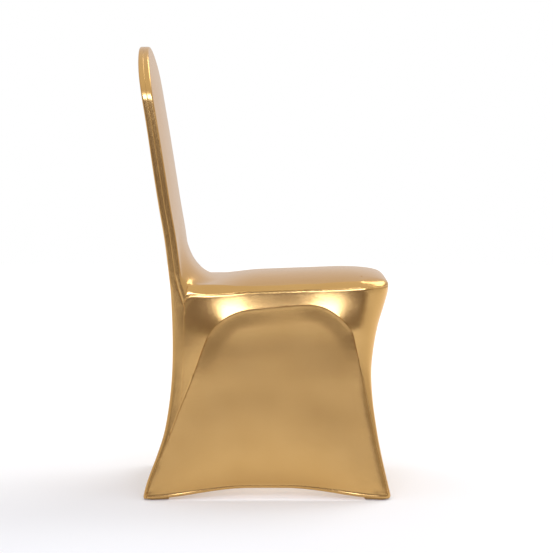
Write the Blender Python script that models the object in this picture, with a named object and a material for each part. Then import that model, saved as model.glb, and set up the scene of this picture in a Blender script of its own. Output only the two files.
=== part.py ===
"""Stretch cover for a banquet chair, sewn from foil coated knit, in the shape it takes on the chair.

The cover is a hollow skin, open at the floor. Metres, +Z up, front at -Y, left side at -X.
The left half is worked out from the tables below and mirrored.
"""
from collections import namedtuple
from math import cos, exp, hypot, pi, sin, sqrt

import bmesh
import bpy
from mathutils import Vector

# Cloth
CLOTH = 0.0015
SEAM_GAP = 0.00022
MITRE_LIMIT = 1.35
WELD = 0.00005
GOLD = (0.62, 0.43, 0.17, 1.0)

# Backrest: a slab that leans back, with a crown on top
BACK_HALF_WIDTH = 0.200
CROWN_START = 0.818
TOP = 0.937
STRIP_EDGE = 0.004
BACK_PADDING = 0.006
PADDING_REACH = 0.14
PADDING_TOP_REACH = 0.10

# Seat: a cushion with a round edge, a little higher at the front
CORNER_BACK = 0.167
CORNER_HEIGHT = 0.4415
SEAT_FRONT = -0.2560
SEAT_FRONT_HEIGHT = 0.4570
SEAT_EDGE_DROP = 0.0185
SEAT_CROWN = 0.0127
SEAT_CROWN_SHAPE = 2.4
SEAT_CROWN_REACH = 0.14
SEAT_CROWN_FRONT = 0.12
SEAT_SIDE_FALL = 0.009
SIDE_EDGE_ROUND = 0.010
FRONT_EDGE_ROUND = 0.056
SIDE_EDGE_LEAN = 0.65
EDGE_DROP_SHARE = 0.80
TANGENT_STEP = 0.004

# The cloth spans the corner between backrest and seat, widest at the middle
WEB_UP = 0.150
WEB_FORWARD = 0.085
WEB_SIDE = 0.018
WEB_SHAPE = 2.6
FLAT_NEXT_TO_CORNER = 0.02

# Hem: level at the feet, lifted between them, and drawn in a little
FOOT_HEM = 0.0035
HEM_LIFT = 0.0205
HEM_FOOT_SHARE = 0.42
HEM_PULL = 0.012
HEM_PULL_FADES = 0.05

# The front and the back are drawn in between the legs
MIDDLE_PULL = 0.016
MIDDLE_PULL_TOP = 0.42
MIDDLE_PULL_REACH = 0.30

# Foot pockets
POCKET_ALONG = 0.046
POCKET_ACROSS = 0.040
POCKET_HEIGHT = 0.018
POCKET_INSET = 0.0052
POCKET_ROUND = 0.012
POCKET_BACK = ((0.0372, 0.0253), (0.0240, 0.0428))
POCKET_CORNER_STEPS = 5

# Grid steps along each seam, and fine steps between two points of a smooth curve
CURVE_STEPS = 12
CROWN_SAMPLES = 80
CROWN_SPLIT = 52
CROWN_STEPS = 6
SHOULDER_STEPS = 4
STRIP_STEPS = 9
TAIL_STEPS = 4
REAR_SEAM_STEPS = 6
LOW_REAR_STEPS = 5
RISE_STEPS = 5
ARCH_STEPS = 12
LEG_STEPS = LOW_REAR_STEPS + RISE_STEPS
CORNER_STEPS = 6
FRONT_STEPS = 4

# Plan outline of the cover at each height: its back, its front, half its width, and how
# round its rear and front corners are
Section = namedtuple("Section", "height rear front half_width rear_round front_round")
SECTIONS = (
    Section(0.000, 0.2465, -0.2575, 0.2115, 0.012, 0.012),
    Section(0.008, 0.2497, -0.2608, 0.2138, 0.013, 0.013),
    Section(0.018, 0.2470, -0.2587, 0.2134, 0.012, 0.013),
    Section(0.042, 0.2400, -0.2530, 0.2120, 0.012, 0.013),
    Section(0.0930, 0.2205, -0.2415, 0.2090, 0.011, 0.014),
    Section(0.1390, 0.2060, -0.2330, 0.2065, 0.011, 0.016),
    Section(0.2040, 0.1950, -0.2243, 0.2035, 0.011, 0.022),
    Section(0.2640, 0.1897, -0.2216, 0.2015, 0.011, 0.029),
    Section(0.3140, 0.1884, -0.2268, 0.2005, 0.010, 0.036),
    Section(0.3580, 0.1888, -0.2358, 0.2000, 0.009, 0.045),
    Section(0.3950, 0.1900, -0.2478, 0.2000, 0.008, 0.054),
    Section(0.4250, 0.1914, -0.2563, 0.2000, 0.007, 0.058),
    Section(0.4415, 0.1925, -0.2578, 0.2000, 0.006, 0.060),
)

# Front and back faces of the backrest at each height
Lean = namedtuple("Lean", "height front rear")
BACKREST = (
    Lean(0.4415, 0.1670, 0.1925),
    Lean(0.5350, 0.1790, 0.2035),
    Lean(0.5970, 0.1895, 0.2140),
    Lean(0.6780, 0.2020, 0.2265),
    Lean(0.7620, 0.2152, 0.2385),
    Lean(0.8540, 0.2305, 0.2530),
    Lean(0.9370, 0.2435, 0.2640),
)

# The seam of a side panel, from the rear foot over the arch to the front foot, and how far
# the skirt's edge stands proud of the panel there
Arch = namedtuple("Arch", "back height proud")
ARCH = (
    Arch(0.2435, 0.0035, 0.000),
    Arch(0.2243, 0.0625, 0.001),
    Arch(0.2020, 0.1140, 0.001),
    Arch(0.1720, 0.1920, 0.001),
    Arch(0.1495, 0.2467, 0.004),
    Arch(0.1255, 0.3150, 0.013),
    Arch(0.1100, 0.3465, 0.019),
    Arch(0.0860, 0.3720, 0.023),
    Arch(0.0573, 0.3875, 0.020),
    Arch(0.0250, 0.3940, 0.015),
    Arch(-0.0407, 0.3997, 0.012),
    Arch(-0.0850, 0.4032, 0.014),
    Arch(-0.1193, 0.3995, 0.018),
    Arch(-0.1523, 0.3806, 0.022),
    Arch(-0.1785, 0.3515, 0.018),
    Arch(-0.1890, 0.3140, 0.008),
    Arch(-0.1992, 0.2644, 0.003),
    Arch(-0.2113, 0.2075, 0.001),
    Arch(-0.2232, 0.1517, 0.001),
    Arch(-0.2353, 0.0961, 0.001),
    Arch(-0.2472, 0.0486, 0.001),
    Arch(-0.2560, 0.0035, 0.000),
)
REAR_FOOT, JOIN, REAR_SHOULDER, FRONT_SHOULDER, FRONT_FOOT = 0, 3, 6, 14, 21
PROUD_REACH = 0.075
PROUD_SHAPE = 1.5

# The panel drops in under the arch, most behind its two shoulders, and sags between the legs
PANEL_STEP_WIDTH = 0.010
PANEL_HOLLOWS = ((0.085, 0.350), (-0.148, 0.358))
HOLLOW_DEPTH = 0.0012
HOLLOW_REACH = 0.140
HOLLOW_STARTS = 0.240
HOLLOW_FULL = 0.350
PANEL_SAG = 0.002

# The seat seam along the side: the tail behind the seat, then marks with the drop below the
# seat's edge there, up to where the front corner begins
SEAT_TAIL = ((0.1636, 0.3990), (0.1605, 0.4130), (0.1530, 0.4205), (0.1380, 0.4225))
SEAT_SIDE_MARKS = ((0.100, 0.0205), (0.030, 0.0185), (-0.040, 0.0185), (-0.110, 0.0185))
CORNER_BEGINS = -0.1785
TAIL_EDGE = 0.036
TAIL_REACH = 0.06

# The seam down the rear leg, from the tail to the side panel, and down the middle of the strip
REAR_SEAM = ((0.1636, 0.3990), (0.1646, 0.3490), (0.1660, 0.3000), (0.1682, 0.2470), (0.1720, 0.1920))
TAIL_MIDDLE = (0.1752, 0.4340)
TAIL_TOP = 0.466


def smooth_curve(points, steps=CURVE_STEPS):
    """A Catmull-Rom curve through the points, as a fine list of vectors."""
    knots = [Vector(p) for p in points]
    first = knots[0] * 2 - knots[1]
    last = knots[-1] * 2 - knots[-2]
    padded = [first] + knots + [last]
    fine = []
    for i in range(1, len(padded) - 2):
        before, start, end, after = padded[i - 1:i + 3]
        for k in range(steps):
            t = k / steps
            fine.append(0.5 * (2 * start + (end - before) * t
                               + (2 * before - 5 * start + 4 * end - after) * t ** 2
                               + (3 * start - before - 3 * end + after) * t ** 3))
    fine.append(knots[-1])
    return fine


def even_points(line, steps):
    """Points at even distances along a fine line, both ends included."""
    lengths = [0.0]
    for a, b in zip(line, line[1:]):
        lengths.append(lengths[-1] + (b - a).length)
    out = []
    place = 0
    for k in range(steps + 1):
        wanted = lengths[-1] * k / steps
        while place < len(line) - 2 and lengths[place + 1] < wanted:
            place += 1
        span = lengths[place + 1] - lengths[place]
        share = (wanted - lengths[place]) / span if span > 0 else 0.0
        out.append(line[place].lerp(line[place + 1], min(max(share, 0.0), 1.0)))
    return out


def look_up(table, key, column, at):
    """Smooth value of a table's column at a height."""
    rows = sorted(table, key=lambda row: getattr(row, key))
    places = [getattr(row, key) for row in rows]
    values = [getattr(row, column) for row in rows]
    at = min(max(at, places[0]), places[-1])
    i = 0
    while i < len(places) - 2 and at > places[i + 1]:
        i += 1

    def slope(k):
        a = max(k - 1, 0)
        b = min(k + 1, len(places) - 1)
        return (values[b] - values[a]) / (places[b] - places[a])

    span = places[i + 1] - places[i]
    t = (at - places[i]) / span
    return ((2 * t ** 3 - 3 * t ** 2 + 1) * values[i] + (t ** 3 - 2 * t ** 2 + t) * span * slope(i)
            + (3 * t ** 2 - 2 * t ** 3) * values[i + 1] + (t ** 3 - t ** 2) * span * slope(i + 1))


def section(height):
    """Back, front, half width, rear round and front round of the plan outline at a height."""
    return [look_up(SECTIONS, "height", name, height) for name in Section._fields[1:]]


def ease(t):
    """0 below 0, 1 above 1, and a soft step between them."""
    t = min(max(t, 0.0), 1.0)
    return t * t * (3 - 2 * t)


def middle_pull(height):
    """How far the middle of the front and of the back is drawn in at a height."""
    return MIDDLE_PULL * ease((MIDDLE_PULL_TOP - height) / MIDDLE_PULL_REACH)


# The panel's seam in the side view, as (back, height) with the proud value as a third number
arch_fine = smooth_curve([tuple(row) for row in ARCH])


def arch_part(first, last, steps):
    """Even points of the panel's seam between two of its marks."""
    return even_points(arch_fine[first * CURVE_STEPS:last * CURVE_STEPS + 1], steps)


def near_arch(back, height):
    """Distance from a place in the side view to the panel's seam, and the proud value there."""
    nearest = min(range(len(arch_fine)),
                  key=lambda k: hypot(arch_fine[k].x - back, arch_fine[k].y - height))
    best = (1.0, 0.0)
    for k in (max(nearest - 1, 0), min(nearest, len(arch_fine) - 2)):
        start, end = arch_fine[k], arch_fine[k + 1]
        run = (end - start).to_2d()
        along = (Vector((back, height)) - start.to_2d()).dot(run) / run.length_squared
        place = start.lerp(end, min(max(along, 0.0), 1.0))
        distance = hypot(place.x - back, place.y - height)
        if distance < best[0]:
            best = (distance, place.z)
    return best


def side_out(back, height):
    """How far the plain side face stands from the middle at a place in the side view."""
    rear, front, half_width, rear_round, front_round = section(height)
    past_front = (front + front_round) - back
    past_rear = back - (rear - rear_round)
    if past_front > 0:
        return half_width - front_round + sqrt(max(front_round ** 2 - min(past_front, front_round) ** 2, 0.0))
    if past_rear > 0:
        return half_width - rear_round + sqrt(max(rear_round ** 2 - min(past_rear, rear_round) ** 2, 0.0))
    return half_width


def flare(back, height):
    """How far the skirt flares out beside the arch."""
    distance, proud = near_arch(back, height)
    return 0.5 * proud * max(1 - distance / PROUD_REACH, 0.0) ** PROUD_SHAPE


def skirt_side(back, height):
    """A point of the skirt or rear leg on the left side."""
    return Vector((-side_out(back, height) - flare(back, height), back, height))


def panel_side(back, height, across, up):
    """A point of the side panel, also given as shares of the way across it and up it."""
    distance, proud = near_arch(back, height)
    inside = ease(distance / PANEL_STEP_WIDTH)
    hollow = 0.0
    for hollow_back, hollow_height in PANEL_HOLLOWS:
        away = hypot(back - hollow_back, height - hollow_height) / HOLLOW_REACH
        hollow += HOLLOW_DEPTH * exp(-away ** 2)
    between = 4 * across * (1 - across)
    sag = PANEL_SAG * between * sin(pi * up)
    pull = HEM_PULL * between ** 2 * exp(-(height - hem_height(across)) / HEM_PULL_FADES)
    hollow *= ease((height - HOLLOW_STARTS) / (HOLLOW_FULL - HOLLOW_STARTS))
    drop = hollow * inside - 0.5 * proud * (1 - inside)
    return Vector((-side_out(back, height) + drop + sag + pull, back, height))


def hem_height(share):
    """Height of a hem at a share of the way between its two feet."""
    return FOOT_HEM + HEM_LIFT * ease(min(share, 1 - share) / HEM_FOOT_SHARE)


def loop_point(turn, height, pull):
    """A point of the plan outline: turn 2 to 3 is the side, 3 to 4 the front corner, 4 to 5
    half the front, whose middle is drawn in by the pull."""
    rear, front, half_width, rear_round, front_round = section(height)
    if turn <= 3:
        back = rear - rear_round + (front + front_round - rear + rear_round) * (turn - 2)
        return skirt_side(back, height)
    if turn <= 4:
        angle = (turn - 3) * pi / 2
        back = front + front_round - front_round * sin(angle)
        return Vector((-half_width + front_round * (1 - cos(angle)) - flare(back, height), back, height))
    across = half_width - front_round
    share = 5 - turn
    return Vector((-across * share, front + pull * ease(1 - share), height))


def turn_at(back, height):
    """The turn of a place on the left side."""
    rear, front, half_width, rear_round, front_round = section(height)
    along = (rear - rear_round - back) / (rear - rear_round - front - front_round)
    if along <= 1:
        return 2 + along
    reach = min(((front + front_round) - back) / front_round, 1.0)
    low, high = 0.0, pi / 2
    for _ in range(30):
        middle = (low + high) / 2
        if sin(middle) < reach:
            low = middle
        else:
            high = middle
    return 3 + low / (pi / 2)


def fill(bottom, top, left, right):
    """Places inside four edges, as rows from bottom to top. Edges are lists of 2-D vectors."""
    rows = []
    for j in range(len(left)):
        v = j / (len(left) - 1)
        row = []
        for i in range(len(bottom)):
            u = i / (len(bottom) - 1)
            row.append(bottom[i] * (1 - v) + top[i] * v + left[j] * (1 - u) + right[j] * u
                       - bottom[0] * (1 - u) * (1 - v) - bottom[-1] * u * (1 - v)
                       - top[0] * (1 - u) * v - top[-1] * u * v)
        rows.append(row)
    return rows


# Backrest and seat

def front_face(height):
    """Where the backrest's front face stands at a height."""
    return look_up(BACKREST, "height", "front", height)


def rear_face(height):
    """Where the back face of the cover stands at a height."""
    if height < CORNER_HEIGHT:
        return look_up(SECTIONS, "height", "rear", height)
    return look_up(BACKREST, "height", "rear", height)


def seat_top(back):
    """Height of the seat's edge, without its crown."""
    slope = (SEAT_FRONT_HEIGHT - CORNER_HEIGHT) / (SEAT_FRONT - CORNER_BACK)
    return CORNER_HEIGHT + slope * (back - CORNER_BACK)


CORNER_DOWN = TOP - CORNER_HEIGHT


def inner_point(x, down):
    """The inner piece laid flat: x across, and the distance down the back, then forward on the seat."""
    def profile(place):
        if place <= CORNER_DOWN:
            return Vector((front_face(TOP - place), TOP - place))
        back = CORNER_BACK - (place - CORNER_DOWN)
        return Vector((back, seat_top(back)))

    side_share = min(abs(x) / BACK_HALF_WIDTH, 1.0)
    middle_share = 1 - side_share ** WEB_SHAPE
    up = WEB_SIDE + (WEB_UP - WEB_SIDE) * middle_share
    forward = WEB_SIDE + (WEB_FORWARD - WEB_SIDE) * middle_share
    offset = down - CORNER_DOWN
    if -up < offset < forward:
        t = (offset + up) / (up + forward)
        flat = (profile(CORNER_DOWN - up) * (1 - t) ** 2 + profile(CORNER_DOWN) * 2 * t * (1 - t)
                + profile(CORNER_DOWN + forward) * t ** 2)
    else:
        flat = profile(down)
    on_seat = ease((offset - FLAT_NEXT_TO_CORNER) / SEAT_CROWN_REACH)
    on_back = ease((-offset - FLAT_NEXT_TO_CORNER) / PADDING_REACH) * ease(down / PADDING_TOP_REACH)
    back = flat.x - BACK_PADDING * on_back * (1 - side_share ** 2)
    front_share = max(1 - (CORNER_BACK - offset - SEAT_FRONT) / SEAT_CROWN_FRONT, 0.0)
    crown = SEAT_CROWN * on_seat * (1 - side_share ** SEAT_CROWN_SHAPE)
    crown *= 1 - front_share ** SEAT_CROWN_SHAPE
    crown -= SEAT_SIDE_FALL * on_seat * side_share ** SEAT_CROWN_SHAPE
    height = flat.y + crown
    return Vector((x, back, height))


def crown_point(share):
    """The backrest's outline seen from the front: 0 at the top middle, 1 at the shoulder."""
    angle = pi / 2 * (1 - share)
    return Vector((-BACK_HALF_WIDTH * cos(angle), CROWN_START + (TOP - CROWN_START) * sin(angle)))


def strip_outline():
    """Stations round the backrest with their inward direction, from the top middle to the tail's top."""
    crown_fine = [crown_point(k / CROWN_SAMPLES) for k in range(CROWN_SAMPLES + 1)]
    crown = even_points(crown_fine[:CROWN_SPLIT + 1], CROWN_STEPS)
    crown += even_points(crown_fine[CROWN_SPLIT:], SHOULDER_STEPS)[1:]
    stations = []
    for point in crown:
        normal = Vector((point.x / BACK_HALF_WIDTH ** 2,
                         (point.y - CROWN_START) / (TOP - CROWN_START) ** 2)).normalized()
        stations.append((point, -normal))
    for k in range(1, STRIP_STEPS + 1):
        height = CROWN_START + (TAIL_TOP - CROWN_START) * k / STRIP_STEPS
        stations.append((Vector((-BACK_HALF_WIDTH, height)), Vector((1, 0))))
    return stations


def ring_row(face, corner, end, seam):
    """A round edge from the face over the corner to the side, and on to the seam."""
    middle = face * 0.25 + corner * 0.5 + end * 0.25
    return [face, middle, end, seam]


strip = strip_outline()
strip_seams = []
for outline, inward in strip:
    middle_back = (front_face(outline.y) + rear_face(outline.y)) / 2
    strip_seams.append(Vector((outline.x, middle_back, outline.y)))

strip_end = [(seam.y, seam.z) for seam in strip_seams[-2:]]
tail_curve = smooth_curve(strip_end + [TAIL_MIDDLE, SEAT_TAIL[0]])[CURVE_STEPS:]
tail_seams = []
for place in even_points(tail_curve, TAIL_STEPS)[1:]:
    tail_seams.append(Vector((-BACK_HALF_WIDTH, place.x, place.y)))

def seam_height(back):
    return seat_top(back) - SEAT_EDGE_DROP


# Seat seam: tail, side, front corner, front
seam_places = [Vector(place) for place in SEAT_TAIL]
for back, drop in SEAT_SIDE_MARKS:
    seam_places.append(Vector((back, seat_top(back) - drop)))
seam_places.append(Vector((CORNER_BEGINS, seam_height(CORNER_BEGINS))))
side_seat_seam = even_points(smooth_curve(seam_places), RISE_STEPS + ARCH_STEPS)
corner_turn = turn_at(CORNER_BEGINS, seam_height(CORNER_BEGINS))
front_turns = [corner_turn + (4 - corner_turn) * k / CORNER_STEPS for k in range(1, CORNER_STEPS + 1)]
front_turns += [4 + k / FRONT_STEPS for k in range(1, FRONT_STEPS + 1)]
seat_seam = [skirt_side(place.x, place.y) for place in side_seat_seam]
for turn in front_turns:
    guess = loop_point(turn, seam_height(SEAT_FRONT), 0.0)
    seat_seam.append(loop_point(turn, seam_height(guess.y), 0.0))


def plan_outward(k):
    """The direction out of the seat in plan, at a point of its seam."""
    before = seat_seam[max(k - 1, 0)]
    after = seat_seam[min(k + 1, len(seat_seam) - 1)]
    along = (after - before).to_2d()
    if k == len(seat_seam) - 1:
        return Vector((0, -1, 0))
    return Vector((along.y, -along.x, 0)).normalized()


def edge_start(flat, flat_out):
    """Where a round edge leaves the face, and the face's slope outwards there."""
    face = inner_point(*flat)
    return face, (face - inner_point(*(flat - flat_out * TANGENT_STEP))) / TANGENT_STEP


def inner_ring():
    """Edge rows all round the inner piece, and where each one starts on the flat pattern."""
    ring = []
    flats = []
    for (outline, inward), seam in zip(strip, strip_seams):
        face_place = outline + inward * STRIP_EDGE
        flats.append(Vector((face_place.x, TOP - face_place.y)))
        face = inner_point(*flats[-1])
        corner = Vector((outline.x, front_face(outline.y), outline.y))
        ring.append(ring_row(face, corner, corner + Vector((0, STRIP_EDGE, 0)), seam))
    for k, seam in enumerate(tail_seams):
        share = (k + 1) / TAIL_STEPS
        down = TOP - TAIL_TOP + (CORNER_DOWN - TOP + TAIL_TOP) * share
        edge = STRIP_EDGE + (TAIL_EDGE - STRIP_EDGE) * share
        flats.append(Vector((-BACK_HALF_WIDTH + edge, down)))
        face, tangent = edge_start(flats[-1], Vector((-1, 0)))
        corner = face + tangent * edge
        end = corner.lerp(seam, min(edge / (seam - corner).length, EDGE_DROP_SHARE))
        ring.append(ring_row(face, corner, end, seam))
    for k in range(1, len(seat_seam)):
        seam = seat_seam[k]
        outward = plan_outward(k)
        settled = ease((CORNER_BACK - seam.y) / TAIL_REACH)
        full = SIDE_EDGE_ROUND + (FRONT_EDGE_ROUND - SIDE_EDGE_ROUND) * sqrt(abs(outward.y))
        edge = TAIL_EDGE + (full - TAIL_EDGE) * settled
        inside = seam - outward * edge
        flats.append(Vector((inside.x, CORNER_DOWN + CORNER_BACK - inside.y)))
        face, tangent = edge_start(flats[-1], Vector((outward.x, -outward.y)))
        reach = edge * (1 - SIDE_EDGE_LEAN * settled * (1 - abs(outward.y)))
        corner = face + tangent * reach
        ring.append(ring_row(face, corner, corner.lerp(seam, EDGE_DROP_SHARE), seam))
    return ring, flats


def inner_face(places):
    """The face inside the ring, worked out on the flat pattern and laid on the form."""
    last = len(places) - 1 - CROWN_STEPS
    top = places[:CROWN_STEPS + 1]
    side = places[CROWN_STEPS:last + 1]
    bottom = list(reversed(places[last:]))
    reaches = [0.0]
    for before, after in zip(side, side[1:]):
        reaches.append(reaches[-1] + max(after.y - before.y, (after - before).length / 4))
    middle = []
    for reach in reaches:
        share = reach / reaches[-1]
        middle.append(Vector((0, top[0].y + (bottom[0].y - top[0].y) * share)))
    rows = fill(top, bottom, middle, side)
    return [[inner_point(place.x, place.y) for place in row] for row in rows]


def outer_point(x, height):
    """The back face: padded on the backrest, drawn in between the rear legs."""
    half = look_up(SECTIONS, "height", "half_width", height)
    share = min(abs(x) / half, 1.0)
    pull = middle_pull(height) * ease(1 - share)
    padding = BACK_PADDING * 0.5 * ease((height - TAIL_TOP) / PADDING_TOP_REACH) * (1 - share ** 2)
    padding *= ease((TOP - height) / PADDING_TOP_REACH)
    return Vector((x, rear_face(height) - pull + padding, height))


rear_seam_points = [skirt_side(p.x, p.y) for p in even_points(smooth_curve(REAR_SEAM), REAR_SEAM_STEPS)]
low_rear = arch_part(REAR_FOOT, JOIN, LOW_REAR_STEPS)
low_rear_points = [skirt_side(p.x, p.y) for p in low_rear]


def outer_ring():
    """Edge rows of the outer back, from the top middle down to the rear foot."""
    ring = []
    for (outline, inward), seam in zip(strip, strip_seams):
        face_place = outline + inward * STRIP_EDGE
        face = outer_point(face_place.x, face_place.y)
        corner = Vector((outline.x, rear_face(outline.y), outline.y))
        ring.append(ring_row(face, corner, corner - Vector((0, STRIP_EDGE, 0)), seam))
    low = tail_seams + rear_seam_points[1:] + list(reversed(low_rear_points))[1:]
    for seam in low:
        height = seam.z
        rear, front, half_width, rear_round, front_round = section(height)
        edge = rear_round if height < CORNER_HEIGHT else STRIP_EDGE
        side_share = ease((CORNER_HEIGHT + TAIL_REACH / 2 - height) / TAIL_REACH)
        edge = STRIP_EDGE + (max(edge, STRIP_EDGE) - STRIP_EDGE) * side_share
        corner = Vector((-half_width, rear_face(height), height))
        face = outer_point(-half_width + edge, height)
        end_back = max(corner.y - edge, seam.y + 0.001)
        ring.append(ring_row(face, corner, Vector((-half_width, end_back, height)), seam))
    return ring


def outer_face(ring):
    """The back face inside the ring, down to the rear hem."""
    places = [Vector((row[0].x, row[0].z)) for row in ring]
    top = places[:CROWN_STEPS + 1]
    side = places[CROWN_STEPS:]
    last = side[-1]
    bottom = []
    for k in range(CROWN_STEPS + 1):
        share = k / CROWN_STEPS
        x = last.x * share
        bottom.append(Vector((x, hem_height(0.5 * (1 + share)))))
    bottom[-1] = last
    middle = []
    for place in side:
        share = (side[0].y - place.y) / (side[0].y - last.y)
        middle.append(Vector((0, top[0].y + (bottom[0].y - top[0].y) * share)))
    rows = fill(top, bottom, middle, side)
    return [[outer_point(place.x, place.y) for place in row] for row in rows]


rise = arch_part(JOIN, REAR_SHOULDER, RISE_STEPS)
over = arch_part(REAR_SHOULDER, FRONT_SHOULDER, ARCH_STEPS)
front_leg = arch_part(FRONT_SHOULDER, FRONT_FOOT, LEG_STEPS)


def flat_places(points):
    """Points of the side view without their proud value."""
    return [Vector((p.x, p.y)) for p in points]


def skirt_band():
    """The side band between the seat seam and the arch, with the tail down the rear leg."""
    bottom = flat_places(rise + over[1:])
    top = side_seat_seam
    left = list(reversed(even_points(smooth_curve(REAR_SEAM), REAR_SEAM_STEPS)))
    right = [bottom[-1].lerp(top[-1], k / REAR_SEAM_STEPS) for k in range(REAR_SEAM_STEPS + 1)]
    return [[skirt_side(p.x, p.y) for p in row] for row in fill(bottom, top, left, right)]


def skirt_front():
    """Front corner, front leg strip and half the front, from the seat seam down to the hem."""
    heights = []
    turns = []
    top_place = side_seat_seam[-1]
    shoulder = Vector((over[-1].x, over[-1].y))
    for k in range(REAR_SEAM_STEPS + 1):
        place = top_place.lerp(shoulder, k / REAR_SEAM_STEPS)
        heights.append(place.y)
        turns.append(turn_at(place.x, place.y))
    for place in front_leg[1:]:
        heights.append(place.y)
        turns.append(turn_at(place.x, place.y))
    columns = CORNER_STEPS + FRONT_STEPS
    top_heights = [p.z for p in seat_seam[-columns - 1:]]
    rows = []
    total = heights[0] - heights[-1]
    for height, turn in zip(heights, turns):
        share = (heights[0] - height) / total
        row = []
        for k in range(columns + 1):
            if k <= CORNER_STEPS:
                place_turn = turn + (4 - turn) * k / CORNER_STEPS
                lift = 0.0
            else:
                place_turn = 4 + (k - CORNER_STEPS) / FRONT_STEPS
                lift = hem_height(0.5 + 0.5 * (5 - place_turn)) - FOOT_HEM
            start = top_heights[k]
            end = heights[-1] + lift
            place_height = start + (end - start) * share
            row.append(loop_point(place_turn, place_height, middle_pull(place_height)))
        if share == 0:
            row = [p.copy() for p in seat_seam[-columns - 1:]]
        rows.append(row)
    return rows


def side_panel():
    """The side panel between the two leg seams, from the hem up to the arch."""
    left = flat_places(low_rear + rise[1:])
    top = flat_places(over)
    right = list(reversed(flat_places(front_leg)))
    bottom = []
    for k in range(ARCH_STEPS + 1):
        share = k / ARCH_STEPS
        back = left[0].x + (right[0].x - left[0].x) * share
        bottom.append(Vector((back, hem_height(share))))
    rows = []
    for j, places in enumerate(fill(bottom, top, left, right)):
        up = j / LEG_STEPS
        rows.append([panel_side(p.x, p.y, k / ARCH_STEPS, up) for k, p in enumerate(places)])
    return rows


# Building the skin and cutting it into sewn pieces

INNER, OUTER, SKIRT, LEFT_PANEL, RIGHT_PANEL = range(5)
NAMES = {INNER: "inner_back_and_seat", OUTER: "outer_back", SKIRT: "skirt",
         LEFT_PANEL: "side_panel_left", RIGHT_PANEL: "side_panel_right"}


def add_rows(bm, layer, rows, piece, mirrored):
    """Adds a grid of points as quads of one piece, on the left or the right side."""
    side = -1 if mirrored else 1
    grid = [[bm.verts.new((p.x * side, p.y, p.z)) for p in row] for row in rows]
    for a, b in zip(grid, grid[1:]):
        for i in range(len(a) - 1):
            corners = (a[i], a[i + 1], b[i + 1], b[i])
            face = bm.faces.new(corners)
            face[layer] = piece


def whole_skin():
    """All patches welded into one skin, each face marked with its piece."""
    bm = bmesh.new()
    layer = bm.faces.layers.int.new("piece")
    inner_edge, flats = inner_ring()
    outer_edge = outer_ring()
    patches = (
        (inner_edge, INNER), (inner_face(flats), INNER),
        (outer_edge, OUTER), (outer_face(outer_edge), OUTER),
        (skirt_band(), SKIRT), (skirt_front(), SKIRT),
        (side_panel(), LEFT_PANEL),
    )
    for rows, piece in patches:
        add_rows(bm, layer, rows, piece, False)
        add_rows(bm, layer, rows, RIGHT_PANEL if piece == LEFT_PANEL else piece, True)
    bmesh.ops.remove_doubles(bm, verts=bm.verts, dist=WELD)
    bmesh.ops.dissolve_degenerate(bm, edges=bm.edges, dist=WELD / 5)
    bmesh.ops.recalc_face_normals(bm, faces=bm.faces)
    top_face = max(bm.faces, key=lambda f: f.calc_center_median().z)
    if top_face.normal.z < 0:
        bmesh.ops.reverse_faces(bm, faces=bm.faces)
    bm.normal_update()
    return bm, layer


def mitred_inside(vert):
    """The point a cloth's thickness inside the skin, squared up over an edge."""
    facing = [abs(vert.normal.dot(face.normal)) for face in vert.link_faces]
    stretch = min(1 / max(min(facing), 0.5), MITRE_LIMIT)
    return vert.co - vert.normal * CLOTH * stretch


def seam_shift(vert, layer, piece):
    """The small move off a seam, square to the seam and along the cloth, that parts two pieces."""
    own = [face for face in vert.link_faces if face[layer] == piece]
    if len(own) == len(vert.link_faces):
        return Vector((0, 0, 0))
    shift = Vector((0, 0, 0))
    for face in own:
        shift += (face.calc_center_median() - vert.co).normalized()
    shift -= vert.normal * shift.dot(vert.normal)
    ends = [edge.other_vert(vert).co for edge in vert.link_edges
            if len({face[layer] for face in edge.link_faces}) > 1]
    if len(ends) == 2:
        along = (ends[1] - ends[0]).normalized()
        shift -= along * shift.dot(along)
    return shift.normalized() * SEAM_GAP


def sewn_piece(skin, layer, piece, material):
    """One closed solid: the piece's outside, its inside and the rim between them."""
    faces = [face for face in skin.faces if face[layer] == piece]
    outside, inside = {}, {}
    bm = bmesh.new()
    for face in faces:
        for vert in face.verts:
            if vert in outside:
                continue
            shift = seam_shift(vert, layer, piece)
            outside[vert] = bm.verts.new(vert.co + shift)
            inside[vert] = bm.verts.new(mitred_inside(vert) + shift)
    for face in faces:
        bm.faces.new([outside[v] for v in face.verts])
        bm.faces.new([inside[v] for v in reversed(face.verts)])
        for loop in face.loops:
            shared = [f for f in loop.edge.link_faces if f[layer] == piece]
            if len(shared) == 1:
                a, b = loop.vert, loop.link_loop_next.vert
                bm.faces.new((outside[b], outside[a], inside[a], inside[b]))
    bmesh.ops.recalc_face_normals(bm, faces=bm.faces)
    bmesh.ops.triangulate(bm, faces=bm.faces)
    mesh = bpy.data.meshes.new(NAMES[piece])
    bm.to_mesh(mesh)
    bm.free()
    mesh.shade_smooth()
    mesh.materials.append(material)
    obj = bpy.data.objects.new(NAMES[piece], mesh)
    bpy.context.collection.objects.link(obj)


def pocket_outline(front, side, height):
    """The plan of a foot pocket at a height: inside the cover's corner, round at the back."""
    rear, front_line, half_width, rear_round, front_round = section(height)
    toward = -1 if front else 1
    edge = front_line if front else rear
    corner = Vector((side * (half_width - POCKET_INSET), edge - toward * POCKET_INSET))
    inward = Vector((-side, -toward))
    shape = [(0.0, POCKET_ALONG)]
    for k in range(POCKET_CORNER_STEPS + 1):
        angle = pi / 2 * k / POCKET_CORNER_STEPS
        shape.append((POCKET_ROUND * (1 - cos(angle)), POCKET_ROUND * (1 - sin(angle))))
    shape.append((POCKET_ACROSS, 0.0))
    shape += POCKET_BACK
    return [corner + Vector((inward.x * across, inward.y * along)) for across, along in shape]


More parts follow.
